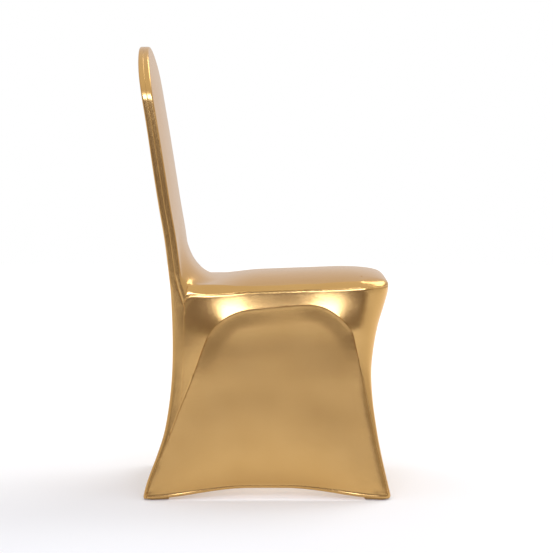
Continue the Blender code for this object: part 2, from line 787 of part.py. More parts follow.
def foot_pocket(name, front, right, material):
    """A small cup in a corner of the hem: a sole on the floor with a wall all round it."""
    side = 1 if right else -1
    bm = bmesh.new()
    rings = []
    for height, lift in ((0.0, CLOTH), (POCKET_HEIGHT, 0.0)):
        outline = pocket_outline(front, side, height)
        middle = sum(outline, Vector((0, 0))) / len(outline)
        ring = []
        for place in outline:
            inner = place + (middle - place).normalized() * CLOTH * MITRE_LIMIT
            ring.append((bm.verts.new((place.x, place.y, height)),
                         bm.verts.new((inner.x, inner.y, height + lift))))
        rings.append(ring)
    low, rim = rings
    bm.faces.new([pair[0] for pair in low])
    bm.faces.new([pair[1] for pair in reversed(low)])
    for k in range(len(low)):
        n = (k + 1) % len(low)
        bm.faces.new((low[k][0], low[n][0], rim[n][0], rim[k][0]))
        bm.faces.new((low[n][1], low[k][1], rim[k][1], rim[n][1]))
        bm.faces.new((rim[k][0], rim[n][0], rim[n][1], rim[k][1]))
    bmesh.ops.recalc_face_normals(bm, faces=bm.faces)
    mesh = bpy.data.meshes.new(name)
    bm.to_mesh(mesh)
    bm.free()
    mesh.materials.append(material)
    bpy.context.collection.objects.link(bpy.data.objects.new(name, mesh))


def foil_knit(name):
    """Knit cloth with a gold foil coat."""
    material = bpy.data.materials.new(name)
    material.use_nodes = True
    shader = material.node_tree.nodes["Principled BSDF"]
    shader.inputs["Base Color"].default_value = GOLD
    shader.inputs["Metallic"].default_value = 0.9
    shader.inputs["Roughness"].default_value = 0.35
    return material


for obj in list(bpy.data.objects):
    bpy.data.objects.remove(obj, do_unlink=True)

skin, piece_layer = whole_skin()
for piece, piece_name in NAMES.items():
    sewn_piece(skin, piece_layer, piece, foil_knit(piece_name + "_foil_knit"))
skin.free()

for front in (True, False):
    for right in (False, True):
        pocket_name = "foot_pocket_" + ("front_" if front else "rear_") + ("right" if right else "left")
        foot_pocket(pocket_name, front, right, foil_knit(pocket_name + "_foil_knit"))
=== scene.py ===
"""Looks of a stretch cover for a banquet chair, sewn from knit cloth with a gold foil coat.

Metres, +Z up, front at -Y, left side at -X. Each sewn piece stands for its solid in the
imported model, lies where that lies, and has its own seams, hem and folds.
"""
from collections import namedtuple
from math import cos, exp, hypot, pi, radians, sin, sqrt

import bmesh
import bpy
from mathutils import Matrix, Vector, kdtree, noise


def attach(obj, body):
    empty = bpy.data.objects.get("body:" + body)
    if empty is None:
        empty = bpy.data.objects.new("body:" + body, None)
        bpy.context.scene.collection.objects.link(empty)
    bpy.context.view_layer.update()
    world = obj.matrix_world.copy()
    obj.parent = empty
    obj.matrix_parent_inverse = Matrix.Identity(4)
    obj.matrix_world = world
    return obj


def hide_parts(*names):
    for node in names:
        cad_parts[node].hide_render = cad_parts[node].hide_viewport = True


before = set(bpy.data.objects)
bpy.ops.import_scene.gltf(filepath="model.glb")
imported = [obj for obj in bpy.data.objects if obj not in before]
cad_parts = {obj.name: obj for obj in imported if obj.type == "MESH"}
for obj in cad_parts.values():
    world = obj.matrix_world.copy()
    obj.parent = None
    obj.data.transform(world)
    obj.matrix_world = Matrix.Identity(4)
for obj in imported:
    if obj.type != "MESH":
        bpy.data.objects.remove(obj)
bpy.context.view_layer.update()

# Side panels
# Two panels of foil coated knit with an arched top, cut to a template and overlocked in under
# the skirt's arches. They hang taut between the leg seams, and the hem is turned up once.

# Plan outline of the cover at each height: its back, its front, half its width, and how
# round its rear and front corners are
Section = namedtuple("Section", "height rear front half_width rear_round front_round")
SECTIONS = (
    Section(0.000, 0.2465, -0.2575, 0.2115, 0.012, 0.012),
    Section(0.008, 0.2497, -0.2608, 0.2138, 0.013, 0.013),
    Section(0.018, 0.2470, -0.2587, 0.2134, 0.012, 0.013),
    Section(0.042, 0.2400, -0.2530, 0.2120, 0.012, 0.013),
    Section(0.0930, 0.2205, -0.2415, 0.2090, 0.011, 0.014),
    Section(0.1390, 0.2060, -0.2330, 0.2065, 0.011, 0.016),
    Section(0.2040, 0.1950, -0.2243, 0.2035, 0.011, 0.022),
    Section(0.2640, 0.1897, -0.2216, 0.2015, 0.011, 0.029),
    Section(0.3140, 0.1884, -0.2268, 0.2005, 0.010, 0.036),
    Section(0.3580, 0.1888, -0.2358, 0.2000, 0.009, 0.045),
    Section(0.3950, 0.1900, -0.2478, 0.2000, 0.008, 0.054),
    Section(0.4250, 0.1914, -0.2563, 0.2000, 0.007, 0.058),
    Section(0.4415, 0.1925, -0.2578, 0.2000, 0.006, 0.060),
)

# The seam of a side panel, from the rear foot over the arch to the front foot, and how far
# the skirt's edge stands proud of the panel there
Arch = namedtuple("Arch", "back height proud")
ARCH = (
    Arch(0.2435, 0.0035, 0.000),
    Arch(0.2243, 0.0625, 0.001),
    Arch(0.2020, 0.1140, 0.001),
    Arch(0.1720, 0.1920, 0.001),
    Arch(0.1495, 0.2467, 0.004),
    Arch(0.1255, 0.3150, 0.013),
    Arch(0.1100, 0.3465, 0.019),
    Arch(0.0860, 0.3720, 0.023),
    Arch(0.0573, 0.3875, 0.020),
    Arch(0.0250, 0.3940, 0.015),
    Arch(-0.0407, 0.3997, 0.012),
    Arch(-0.0850, 0.4032, 0.014),
    Arch(-0.1193, 0.3995, 0.018),
    Arch(-0.1523, 0.3806, 0.022),
    Arch(-0.1785, 0.3515, 0.018),
    Arch(-0.1890, 0.3140, 0.008),
    Arch(-0.1992, 0.2644, 0.003),
    Arch(-0.2113, 0.2075, 0.001),
    Arch(-0.2232, 0.1517, 0.001),
    Arch(-0.2353, 0.0961, 0.001),
    Arch(-0.2472, 0.0486, 0.001),
    Arch(-0.2560, 0.0035, 0.000),
)
REAR_FOOT, JOIN, REAR_SHOULDER, FRONT_SHOULDER, FRONT_FOOT = 0, 3, 6, 14, 21
PROUD_REACH = 0.075
PROUD_SHAPE = 1.5

# The panel lies deeper under the arch, most behind its two shoulders, and sags between the legs
GROOVE_DEPTH = 0.0010
GROOVE_REACH = 0.040
GROOVE_STARTS = 0.004
GROOVE_FULL = 0.018
PANEL_HOLLOWS = ((0.085, 0.350), (-0.148, 0.358))
HOLLOW_DEPTH = 0.0012
HOLLOW_REACH = 0.140
HOLLOW_STARTS = 0.240
HOLLOW_FULL = 0.350
PANEL_SAG = 0.002

FOOT_HEM = 0.0035
HEM_LIFT = 0.0205
HEM_FOOT_SHARE = 0.42
HEM_PULL = 0.012
HEM_PULL_FADES = 0.05

# Grid steps along each seam, and fine steps between two points of a smooth curve
CURVE_STEPS = 12
LOW_REAR_STEPS = 40
RISE_STEPS = 34
ARCH_STEPS = 90
LEG_STEPS = LOW_REAR_STEPS + RISE_STEPS
PANEL_ROWS = 150

CLOTH = 0.0012
WELD = 0.00005


def smooth_curve(points, steps=CURVE_STEPS):
    """A Catmull-Rom curve through the points, as a fine list of vectors."""
    knots = [Vector(p) for p in points]
    first = knots[0] * 2 - knots[1]
    last = knots[-1] * 2 - knots[-2]
    padded = [first] + knots + [last]
    fine = []
    for i in range(1, len(padded) - 2):
        before, start, end, after = padded[i - 1:i + 3]
        for k in range(steps):
            t = k / steps
            fine.append(0.5 * (2 * start + (end - before) * t
                               + (2 * before - 5 * start + 4 * end - after) * t ** 2
                               + (3 * start - before - 3 * end + after) * t ** 3))
    fine.append(knots[-1])
    return fine


def even_points(line, steps):
    """Points at even distances along a fine line, both ends included."""
    lengths = [0.0]
    for a, b in zip(line, line[1:]):
        lengths.append(lengths[-1] + (b - a).length)
    out = []
    place = 0
    for k in range(steps + 1):
        wanted = lengths[-1] * k / steps
        while place < len(line) - 2 and lengths[place + 1] < wanted:
            place += 1
        span = lengths[place + 1] - lengths[place]
        share = (wanted - lengths[place]) / span if span > 0 else 0.0
        out.append(line[place].lerp(line[place + 1], min(max(share, 0.0), 1.0)))
    return out


def look_up(table, key, column, at):
    """Smooth value of a table's column at a height."""
    rows = sorted(table, key=lambda row: getattr(row, key))
    places = [getattr(row, key) for row in rows]
    values = [getattr(row, column) for row in rows]
    at = min(max(at, places[0]), places[-1])
    i = 0
    while i < len(places) - 2 and at > places[i + 1]:
        i += 1

    def slope(k):
        a = max(k - 1, 0)
        b = min(k + 1, len(places) - 1)
        return (values[b] - values[a]) / (places[b] - places[a])

    span = places[i + 1] - places[i]
    t = (at - places[i]) / span
    return ((2 * t ** 3 - 3 * t ** 2 + 1) * values[i] + (t ** 3 - 2 * t ** 2 + t) * span * slope(i)
            + (3 * t ** 2 - 2 * t ** 3) * values[i + 1] + (t ** 3 - t ** 2) * span * slope(i + 1))


def section(height):
    """Back, front, half width, rear round and front round of the plan outline at a height."""
    return [look_up(SECTIONS, "height", name, height) for name in Section._fields[1:]]


def ease(t):
    """0 below 0, 1 above 1, and a soft step between them."""
    t = min(max(t, 0.0), 1.0)
    return t * t * (3 - 2 * t)


arch_fine = smooth_curve([tuple(row) for row in ARCH])


def arch_part(first, last, steps):
    """Even points of the panel's seam between two of its marks."""
    return even_points(arch_fine[first * CURVE_STEPS:last * CURVE_STEPS + 1], steps)


def near_arch(back, height):
    """Distance from a place in the side view to the panel's seam, and the proud value there."""
    nearest = min(range(len(arch_fine)),
                  key=lambda k: hypot(arch_fine[k].x - back, arch_fine[k].y - height))
    best = (1.0, 0.0)
    for k in (max(nearest - 1, 0), min(nearest, len(arch_fine) - 2)):
        start, end = arch_fine[k], arch_fine[k + 1]
        run = (end - start).to_2d()
        along = (Vector((back, height)) - start.to_2d()).dot(run) / run.length_squared
        place = start.lerp(end, min(max(along, 0.0), 1.0))
        distance = hypot(place.x - back, place.y - height)
        if distance < best[0]:
            best = (distance, place.z)
    return best


def side_out(back, height):
    """How far the plain side face stands from the middle at a place in the side view."""
    rear, front, half_width, rear_round, front_round = section(height)
    past_front = (front + front_round) - back
    past_rear = back - (rear - rear_round)
    if past_front > 0:
        bow = sqrt(max(front_round ** 2 - min(past_front, front_round) ** 2, 0.0))
        return half_width - front_round + bow
    if past_rear > 0:
        bow = sqrt(max(rear_round ** 2 - min(past_rear, rear_round) ** 2, 0.0))
        return half_width - rear_round + bow
    return half_width


def panel_side(back, height, across, up):
    """A point of the side panel, also given as shares of the way across it and up it."""
    distance, proud = near_arch(back, height)
    hollow = 0.0
    for hollow_back, hollow_height in PANEL_HOLLOWS:
        away = hypot(back - hollow_back, height - hollow_height) / HOLLOW_REACH
        hollow += HOLLOW_DEPTH * exp(-away ** 2)
    between = 4 * across * (1 - across)
    sag = PANEL_SAG * between * sin(pi * up)
    pull = HEM_PULL * between ** 2 * exp(-(height - hem_height(across)) / HEM_PULL_FADES)
    hollow *= ease((height - HOLLOW_STARTS) / (HOLLOW_FULL - HOLLOW_STARTS))
    groove = ease((proud - GROOVE_STARTS) / (GROOVE_FULL - GROOVE_STARTS))
    groove *= GROOVE_DEPTH * (1 - ease(distance / GROOVE_REACH))
    return Vector((-side_out(back, height) + hollow + groove + sag + pull, back, height))


def hem_height(share):
    """Height of a hem at a share of the way between its two feet."""
    return FOOT_HEM + HEM_LIFT * ease(min(share, 1 - share) / HEM_FOOT_SHARE)


def fill(bottom, top, left, right):
    """Places inside four edges, as rows from bottom to top. Edges are lists of 2-D vectors."""
    rows = []
    for j in range(len(left)):
        v = j / (len(left) - 1)
        row = []
        for i in range(len(bottom)):
            u = i / (len(bottom) - 1)
            row.append(bottom[i] * (1 - v) + top[i] * v + left[j] * (1 - u) + right[j] * u
                       - bottom[0] * (1 - u) * (1 - v) - bottom[-1] * u * (1 - v)
                       - top[0] * (1 - u) * v - top[-1] * u * v)
        rows.append(row)
    return rows


def flat_places(points):
    """Points of the side view without their proud value."""
    return [Vector((p.x, p.y)) for p in points]


rise = arch_part(JOIN, REAR_SHOULDER, RISE_STEPS)
over = arch_part(REAR_SHOULDER, FRONT_SHOULDER, ARCH_STEPS)
front_leg = arch_part(FRONT_SHOULDER, FRONT_FOOT, LEG_STEPS)


def side_panel():
    """The side panel between the two leg seams, from the hem up to the arch."""
    left = flat_places(arch_part(REAR_FOOT, REAR_SHOULDER, PANEL_ROWS))
    top = flat_places(over)
    right = list(reversed(flat_places(arch_part(FRONT_SHOULDER, FRONT_FOOT, PANEL_ROWS))))
    bottom = []
    for k in range(ARCH_STEPS + 1):
        share = k / ARCH_STEPS
        back = left[0].x + (right[0].x - left[0].x) * share
        bottom.append(Vector((back, hem_height(share))))
    rows = []
    for j, places in enumerate(fill(bottom, top, left, right)):
        up = j / PANEL_ROWS
        rows.append([panel_side(p.x, p.y, k / ARCH_STEPS, up) for k, p in enumerate(places)])
    return rows


# How the cloth lies along a seam: deep at the seat seam, nearly flat elsewhere
SEAM_DEPTH = 0.0006
FLAT_SEAM_SHARE = 0.12
SEAT_SEAM_LOW = 0.400
SEAT_SEAM_HIGH = 0.465
SEAT_SEAM_FADES = 0.015
SEAM_WIDTH = 0.0026
SEAM_ROW = 0.0011
SEAM_RUB = 0.0035
ALLOWANCE_RISE = 0.00004
ALLOWANCE_WIDTH = 0.0085
ALLOWANCE_FADES = 0.03
PUCKER_RISE = 0.00007
PUCKER_LENGTH = 0.009

# The hem, and the small folds in it beside each foot
HEM_BAND = 0.0075
HEM_SLOPE = 0.0048
HEM_RISE = 0.0014
HEM_STITCH_DEPTH = 0.00005
HEM_STITCH_WIDTH = 0.002
HEM_ROLL = 0.0012
HEM_ROLL_WIDTH = 0.003
HEM_STEEPEST = 0.5
FOOT_MIDDLES = (-0.235, 0.222)
FOOT_FOLD_RISE = 0.0011
FOOT_FOLD_REACH = 0.045
FOOT_FOLD_FADES = 0.014
FOOT_FOLD_SCALE = (40, 95, 60)

# Slack between the seams, and the fold from which an edge stays crisp. The seat's face has none
SLACK_RISE = 0.00022
SLACK_LENGTH = 0.075
CREASE = radians(50)
SEAT_FACE_LOW = 0.437
SEAT_FACE_REAR = 0.10
COVER_MIDDLE = Vector((0, 0, 0.2))


def lay_grid(bm, rows, flats):
    """Lays a grid of faces through rows of points, each with its place on the flat cloth."""
    across = len(rows[0])
    grid = bmesh.ops.create_grid(bm, x_segments=across - 1, y_segments=len(rows) - 1, size=1)
    cloth = bm.verts.layers.float_vector["cloth"]
    for k, vert in enumerate(grid["verts"]):
        vert.co = rows[k // across][k % across]
        place = flats[k // across][k % across]
        vert[cloth] = (place[0], place[1], 0)


def new_cloth():
    """An empty mesh that keeps each point's place on the flat cloth and its nearness to a seam."""
    bm = bmesh.new()
    bm.verts.layers.float_vector.new("cloth")
    bm.verts.layers.float.new("seam")
    return bm


def nearest_tree(verts):
    """A search tree over the vertices of a seam or hem line."""
    tree = kdtree.KDTree(len(verts))
    for k, vert in enumerate(verts):
        tree.insert(vert.co, k)
    tree.balance()
    return tree


def seam_profile(distance, place):
    """The valley along a seam, the allowance that lifts the cloth beside it, and small puckers."""
    at_seat = ease((place.z - SEAT_SEAM_LOW) / SEAT_SEAM_FADES)
    at_seat *= ease((SEAT_SEAM_HIGH - place.z) / SEAT_SEAM_FADES)
    depth = SEAM_DEPTH * (FLAT_SEAM_SHARE + (1 - FLAT_SEAM_SHARE) * at_seat)
    valley = depth * (1 - ease(distance / SEAM_WIDTH))
    past = (distance - SEAM_WIDTH) / (ALLOWANCE_WIDTH - SEAM_WIDTH)
    beside = ease(distance / SEAM_WIDTH) * (1 - ease(past))
    beside *= 1 - ease((place.z - SEAT_SEAM_HIGH) / ALLOWANCE_FADES)
    pucker = noise.noise(place / PUCKER_LENGTH) * exp(-distance / ALLOWANCE_WIDTH)
    return ALLOWANCE_RISE * beside - valley + PUCKER_RISE * pucker


def hem_profile(distance, place):
    """The turned up hem: a band of double cloth, rolled under below and stitched above."""
    band = HEM_RISE * (1 - ease((distance - HEM_BAND) / HEM_SLOPE + 1))
    roll = HEM_ROLL * (1 - ease(distance / HEM_ROLL_WIDTH))
    stitch = HEM_STITCH_DEPTH * (1 - ease(abs(distance - HEM_BAND) / HEM_STITCH_WIDTH))
    foot = min(abs(place.y - middle) for middle in FOOT_MIDDLES)
    fold = noise.noise(Vector([part * scale for part, scale in zip(place, FOOT_FOLD_SCALE)]))
    fold *= FOOT_FOLD_RISE * exp(-distance / FOOT_FOLD_FADES) * (1 - ease(foot / FOOT_FOLD_REACH))
    return band - roll - stitch + fold


def sewn_cloth(bm, name, mirrored, smoothing):
    """Welds the grids of one piece, and gives the cloth its seams, hem, slack and thickness."""
    bmesh.ops.remove_doubles(bm, verts=bm.verts, dist=WELD)
    if mirrored:
        geom = bm.verts[:] + bm.edges[:] + bm.faces[:]
        bmesh.ops.mirror(bm, geom=geom, axis="X", merge_dist=WELD)
        bmesh.ops.remove_doubles(bm, verts=bm.verts, dist=WELD)
    bmesh.ops.dissolve_degenerate(bm, edges=bm.edges, dist=WELD / 5)
    bmesh.ops.recalc_face_normals(bm, faces=bm.faces)
    outermost = max(bm.faces, key=lambda face: face.calc_center_median().length)
    if outermost.normal.dot(outermost.calc_center_median() - COVER_MIDDLE) < 0:
        bmesh.ops.reverse_faces(bm, faces=bm.faces)
    bm.normal_update()
    creased = set()
    for edge in bm.edges:
        on_seat = edge.verts[0].co.z > SEAT_FACE_LOW and edge.verts[0].co.y < SEAT_FACE_REAR
        if not on_seat and len(edge.link_faces) == 2 and edge.calc_face_angle() > CREASE:
            edge.smooth = False
            creased.update(edge.verts)
    inside = [vert for vert in bm.verts if not vert.is_boundary and vert not in creased]
    for _ in range(smoothing):
        bmesh.ops.smooth_vert(bm, verts=inside, factor=0.5,
                              use_axis_x=True, use_axis_y=True, use_axis_z=True)
    bmesh.ops.inset_region(bm, faces=bm.faces[:], thickness=SEAM_ROW,
                           use_boundary=True, use_even_offset=True)
    bm.normal_update()
    hems, seams = set(), set()
    for edge in bm.edges:
        if edge.is_boundary:
            rise = abs(edge.verts[0].co.z - edge.verts[1].co.z)
            low = max(vert.co.z for vert in edge.verts) < FOOT_HEM + HEM_LIFT + WELD
            level = rise < HEM_STEEPEST * edge.calc_length()
            (hems if low and level else seams).update(edge.verts)
    seam_tree = nearest_tree(list(seams))
    hem_tree = nearest_tree(list(hems)) if hems else None
    seam_layer = bm.verts.layers.float["seam"]
    moves = []
    for vert in bm.verts:
        distance = seam_tree.find(vert.co)[2]
        rise = seam_profile(distance, vert.co)
        rise += SLACK_RISE * noise.noise(vert.co / SLACK_LENGTH) * ease(distance / SLACK_LENGTH)
        if hem_tree:
            rise += hem_profile(hem_tree.find(vert.co)[2], vert.co)
        vert[seam_layer] = exp(-distance / SEAM_RUB)
        moves.append(vert.normal * rise)
    for vert, move in zip(bm.verts, moves):
        vert.co += move
    mesh = bpy.data.meshes.new(name)
    bm.to_mesh(mesh)
    bm.free()
    mesh.shade_smooth()
    piece = bpy.data.objects.new(name, mesh)
    bpy.context.collection.objects.link(piece)
    thickness = piece.modifiers.new("thickness", "SOLIDIFY")
    thickness.thickness = CLOTH
    thickness.offset = -1.0
    return piece


# Gold foil knit: nylon and elastane tricot, with a gold foil bonded to its face. The foil is a
# bright metal film, broken up by the fine ribs of the knit under it, which gives the soft gloss.
# Ribs and grain are under 1 mm in the real knit, too fine to show, so both are drawn coarser.
RIB_SPACING = 0.0100531
RIB_SHARE = 0.5
GRAIN_SIZE = 0.0018
CLOUD_SIZE = 0.07
ROUGHNESS_SPREAD = 0.03
SEAM_WEAR = 0.02
KNIT_STRENGTH = 0.16
KNIT_HEIGHT = 0.0003


def from_hex(colour):
    """A linear colour from an sRGB hex value."""
    parts = [int(colour[k:k + 2], 16) / 255 for k in (1, 3, 5)]
    return [p / 12.92 if p <= 0.04045 else ((p + 0.055) / 1.055) ** 2.4 for p in parts] + [1.0]


def add_node(tree, kind, inputs=(), **settings):
    """Adds a node with its settings, its input values and the outputs linked into it."""
    new = tree.nodes.new(kind)
    for name, value in settings.items():
        setattr(new, name, value)
    for name, value in dict(inputs).items():
        if isinstance(value, bpy.types.NodeSocket):
            tree.links.new(value, new.inputs[name])
        else:
            new.inputs[name].default_value = value
    return new


def gold_foil_knit(name, bright, deep, roughness):
    """Two gold tones in soft clouds, with grain and ribs in the surface, rubbed at the seams."""
    material = bpy.data.materials.new(name)
    material.use_nodes = True
    tree = material.node_tree
    shader = tree.nodes["Principled BSDF"]
    cloth = add_node(tree, "ShaderNodeAttribute", attribute_name="cloth").outputs["Vector"]
    seam = add_node(tree, "ShaderNodeAttribute", attribute_name="seam").outputs["Fac"]
    place = add_node(tree, "ShaderNodeTexCoord").outputs["Object"]
    clouds = add_node(tree, "ShaderNodeTexNoise",
                      {"Vector": place, "Scale": 1 / CLOUD_SIZE, "Detail": 3.0})
    grain = add_node(tree, "ShaderNodeTexNoise",
                     {"Vector": place, "Scale": 1 / GRAIN_SIZE, "Detail": 2.0})
    ribs = add_node(tree, "ShaderNodeTexWave",
                    {"Vector": cloth, "Scale": 2 * pi / RIB_SPACING / 20, "Distortion": 0.0},
                    wave_type="BANDS", bands_direction="X")
    tone = add_node(tree, "ShaderNodeMix",
                    {"A": from_hex(deep), "B": from_hex(bright), "Factor": clouds.outputs["Fac"]},
                    data_type="RGBA")
    tree.links.new(tone.outputs[2], shader.inputs["Base Color"])
    rough = add_node(tree, "ShaderNodeMapRange",
                     {"Value": grain.outputs["Fac"], "From Min": 0.3, "From Max": 0.7,
                      "To Min": roughness - ROUGHNESS_SPREAD,
                      "To Max": roughness + ROUGHNESS_SPREAD})
    worn = add_node(tree, "ShaderNodeMath", {0: seam, 1: SEAM_WEAR, 2: rough.outputs["Result"]},
                    operation="MULTIPLY_ADD")
    tree.links.new(worn.outputs[0], shader.inputs["Roughness"])
    knit = add_node(tree, "ShaderNodeMath",
                    {0: ribs.outputs["Fac"], 1: RIB_SHARE, 2: grain.outputs["Fac"]},
                    operation="MULTIPLY_ADD")
    bump = add_node(tree, "ShaderNodeBump",
                    {"Height": knit.outputs[0], "Strength": KNIT_STRENGTH, "Distance": KNIT_HEIGHT})
    tree.links.new(bump.outputs["Normal"], shader.inputs["Normal"])
    shader.inputs["Metallic"].default_value = 1.0
    shader.inputs["Specular Tint"].default_value = from_hex("#FFEFDA")
    shader.inputs["Coat Weight"].default_value = 0.35
    shader.inputs["Coat Roughness"].default_value = 0.18
    return material


foil = gold_foil_knit("gold foil bonded on tricot knit", "#D0A665", "#C59A59", 0.20)

for side, name in ((1, "left"), (-1, "right")):
    bm = new_cloth()
    rows = side_panel()
    lay_grid(bm, rows, [[(p.y, p.z) for p in row] for row in rows])
    bmesh.ops.scale(bm, vec=(side, 1, 1), verts=bm.verts)
    panel = sewn_cloth(bm, "cloth_side_panel_" + name, mirrored=False, smoothing=4)
    panel.data.materials.append(foil)
    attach(panel, "root")
    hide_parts("side_panel_" + name)


# Skirt
# One piece of the same knit: the band under the seat, the two front leg strips and the plain
# front. An arch is cut out of each side, and its edge stands a little proud of the side panel.

SEAT_FRONT = -0.2560
SEAT_FRONT_HEIGHT = 0.4570
CORNER_BACK = 0.167
CORNER_HEIGHT = 0.4415
SEAT_EDGE_DROP = 0.0185
MIDDLE_PULL = 0.016
MIDDLE_PULL_TOP = 0.42
MIDDLE_PULL_REACH = 0.30
REAR_SEAM_STEPS = 42
CORNER_STEPS = 40
FRONT_STEPS = 30
# The seat seam along the side: the tail behind the seat, then marks with the drop below the
# seat's edge there, up to where the front corner begins
SEAT_TAIL = ((0.1636, 0.3990), (0.1605, 0.4130), (0.1530, 0.4205), (0.1380, 0.4225))
SEAT_SIDE_MARKS = ((0.100, 0.0205), (0.030, 0.0185), (-0.040, 0.0185), (-0.110, 0.0185))
CORNER_BEGINS = -0.1785
FLARE_SHARE = 0.5
LIP_STARTS = 0.0045
LIP_END = Vector((-0.0004, 0, 0.0008))

# The seam down the rear leg, from the tail to the side panel
REAR_SEAM = ((0.1636, 0.3990), (0.1646, 0.3490), (0.1660, 0.3000),
             (0.1682, 0.2470), (0.1720, 0.1920))


def middle_pull(height):
    """How far the middle of the front and of the back is drawn in at a height."""
    return MIDDLE_PULL * ease((MIDDLE_PULL_TOP - height) / MIDDLE_PULL_REACH)


def flare(back, height):
    """How far the skirt flares out beside the arch."""
    distance, proud = near_arch(back, height)
    return FLARE_SHARE * proud * max(1 - distance / PROUD_REACH, 0.0) ** PROUD_SHAPE


def skirt_side(back, height):
    """A point of the skirt or rear leg on the left side."""
    return Vector((-side_out(back, height) - flare(back, height), back, height))


def loop_point(turn, height, pull):
    """A point of the plan outline: turn 2 to 3 is the side, 3 to 4 the front corner, 4 to 5
    half the front, whose middle is drawn in by the pull."""
    rear, front, half_width, rear_round, front_round = section(height)
    if turn <= 3:
        back = rear - rear_round + (front + front_round - rear + rear_round) * (turn - 2)
        return skirt_side(back, height)
    if turn <= 4:
        angle = (turn - 3) * pi / 2
        back = front + front_round - front_round * sin(angle)
        side = -half_width + front_round * (1 - cos(angle)) - flare(back, height)
        return Vector((side, back, height))
    across = half_width - front_round
    share = 5 - turn
    return Vector((-across * share, front + pull * ease(1 - share), height))


def turn_at(back, height):
    """The turn of a place on the left side."""
    rear, front, half_width, rear_round, front_round = section(height)
    along = (rear - rear_round - back) / (rear - rear_round - front - front_round)
    if along <= 1:
        return 2 + along
    reach = min(((front + front_round) - back) / front_round, 1.0)
    low, high = 0.0, pi / 2
    for _ in range(30):
        middle = (low + high) / 2
        if sin(middle) < reach:
            low = middle
        else:
            high = middle
    return 3 + low / (pi / 2)


def seat_top(back):
    """Height of the seat's edge, without its crown."""
    slope = (SEAT_FRONT_HEIGHT - CORNER_HEIGHT) / (SEAT_FRONT - CORNER_BACK)
    return CORNER_HEIGHT + slope * (back - CORNER_BACK)


def seam_height(back):
    """Height of the seat seam, without the tail."""
    return seat_top(back) - SEAT_EDGE_DROP


# Seat seam: tail, side, front corner, front
seam_places = [Vector(place) for place in SEAT_TAIL]
for back, drop in SEAT_SIDE_MARKS:
    seam_places.append(Vector((back, seat_top(back) - drop)))
seam_places.append(Vector((CORNER_BEGINS, seam_height(CORNER_BEGINS))))
side_seat_seam = even_points(smooth_curve(seam_places), RISE_STEPS + ARCH_STEPS)
corner_turn = turn_at(CORNER_BEGINS, seam_height(CORNER_BEGINS))
front_turns = [corner_turn + (4 - corner_turn) * k / CORNER_STEPS
               for k in range(1, CORNER_STEPS + 1)]
front_turns += [4 + k / FRONT_STEPS for k in range(1, FRONT_STEPS + 1)]
seat_seam = [skirt_side(place.x, place.y) for place in side_seat_seam]
for turn in front_turns:
    guess = loop_point(turn, seam_height(SEAT_FRONT), 0.0)
    seat_seam.append(loop_point(turn, seam_height(guess.y), 0.0))


def skirt_band():
    """The side band between the seat seam and the arch, with the tail down the rear leg."""
    bottom = flat_places(rise + over[1:])
    top = side_seat_seam
    left = list(reversed(even_points(smooth_curve(REAR_SEAM), REAR_SEAM_STEPS)))
    right = [bottom[-1].lerp(top[-1], k / REAR_SEAM_STEPS) for k in range(REAR_SEAM_STEPS + 1)]
    return [[skirt_side(p.x, p.y) for p in row] for row in fill(bottom, top, left, right)]


def skirt_front():
    """Front corner, front leg strip and half the front, from the seat seam down to the hem."""
    heights = []
    turns = []
    top_place = side_seat_seam[-1]
    shoulder = Vector((over[-1].x, over[-1].y))
    for k in range(REAR_SEAM_STEPS + 1):
        place = top_place.lerp(shoulder, k / REAR_SEAM_STEPS)
        heights.append(place.y)
        turns.append(turn_at(place.x, place.y))
    for place in front_leg[1:]:
        heights.append(place.y)
        turns.append(turn_at(place.x, place.y))
    columns = CORNER_STEPS + FRONT_STEPS
    top_heights = [p.z for p in seat_seam[-columns - 1:]]
    rows = []
    total = heights[0] - heights[-1]
    for height, turn in zip(heights, turns):
        share = (heights[0] - height) / total
        row = []
        for k in range(columns + 1):
            if k <= CORNER_STEPS:
                place_turn = turn + (4 - turn) * k / CORNER_STEPS
                lift = 0.0
            else:
                place_turn = 4 + (k - CORNER_STEPS) / FRONT_STEPS
                lift = hem_height(0.5 + 0.5 * (5 - place_turn)) - FOOT_HEM
            start = top_heights[k]
            end = heights[-1] + lift
            place_height = start + (end - start) * share
            row.append(loop_point(place_turn, place_height, middle_pull(place_height)))
        if share == 0:
            row = [p.copy() for p in seat_seam[-columns - 1:]]
        rows.append(row)
    return rows


def arch_lip():
    """The skirt's edge turned in under the arch, back to the side panel, where it stands proud."""
    edge = [place for place in rise + over[1:] + front_leg[1:] if place.z > LIP_STARTS]
    turned = [panel_side(place.x, place.y, 0, 1) + LIP_END for place in edge]
    return [turned, [skirt_side(place.x, place.y) for place in edge]]


def round_flats(rows):
    """Places on the flat cloth: the distance round the cover along each row, and the height."""
    flats = []
    for row in rows:
        around = row[0].y
        line = [(around, row[0].z)]
        for before, after in zip(row, row[1:]):
            around -= (after - before).to_2d().length
            line.append((around, after.z))
        flats.append(line)
    return flats


bm = new_cloth()
for rows in (skirt_band(), skirt_front(), arch_lip()):
    lay_grid(bm, rows, round_flats(rows))
skirt = sewn_cloth(bm, "cloth_skirt", mirrored=True, smoothing=4)
skirt.data.materials.append(foil)
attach(skirt, "root")
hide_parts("skirt")


# Inner back and seat
# One long piece: it covers the front of the backrest, spans the corner in one sweep and
# covers the seat, with its round edge, down to the seat seam.

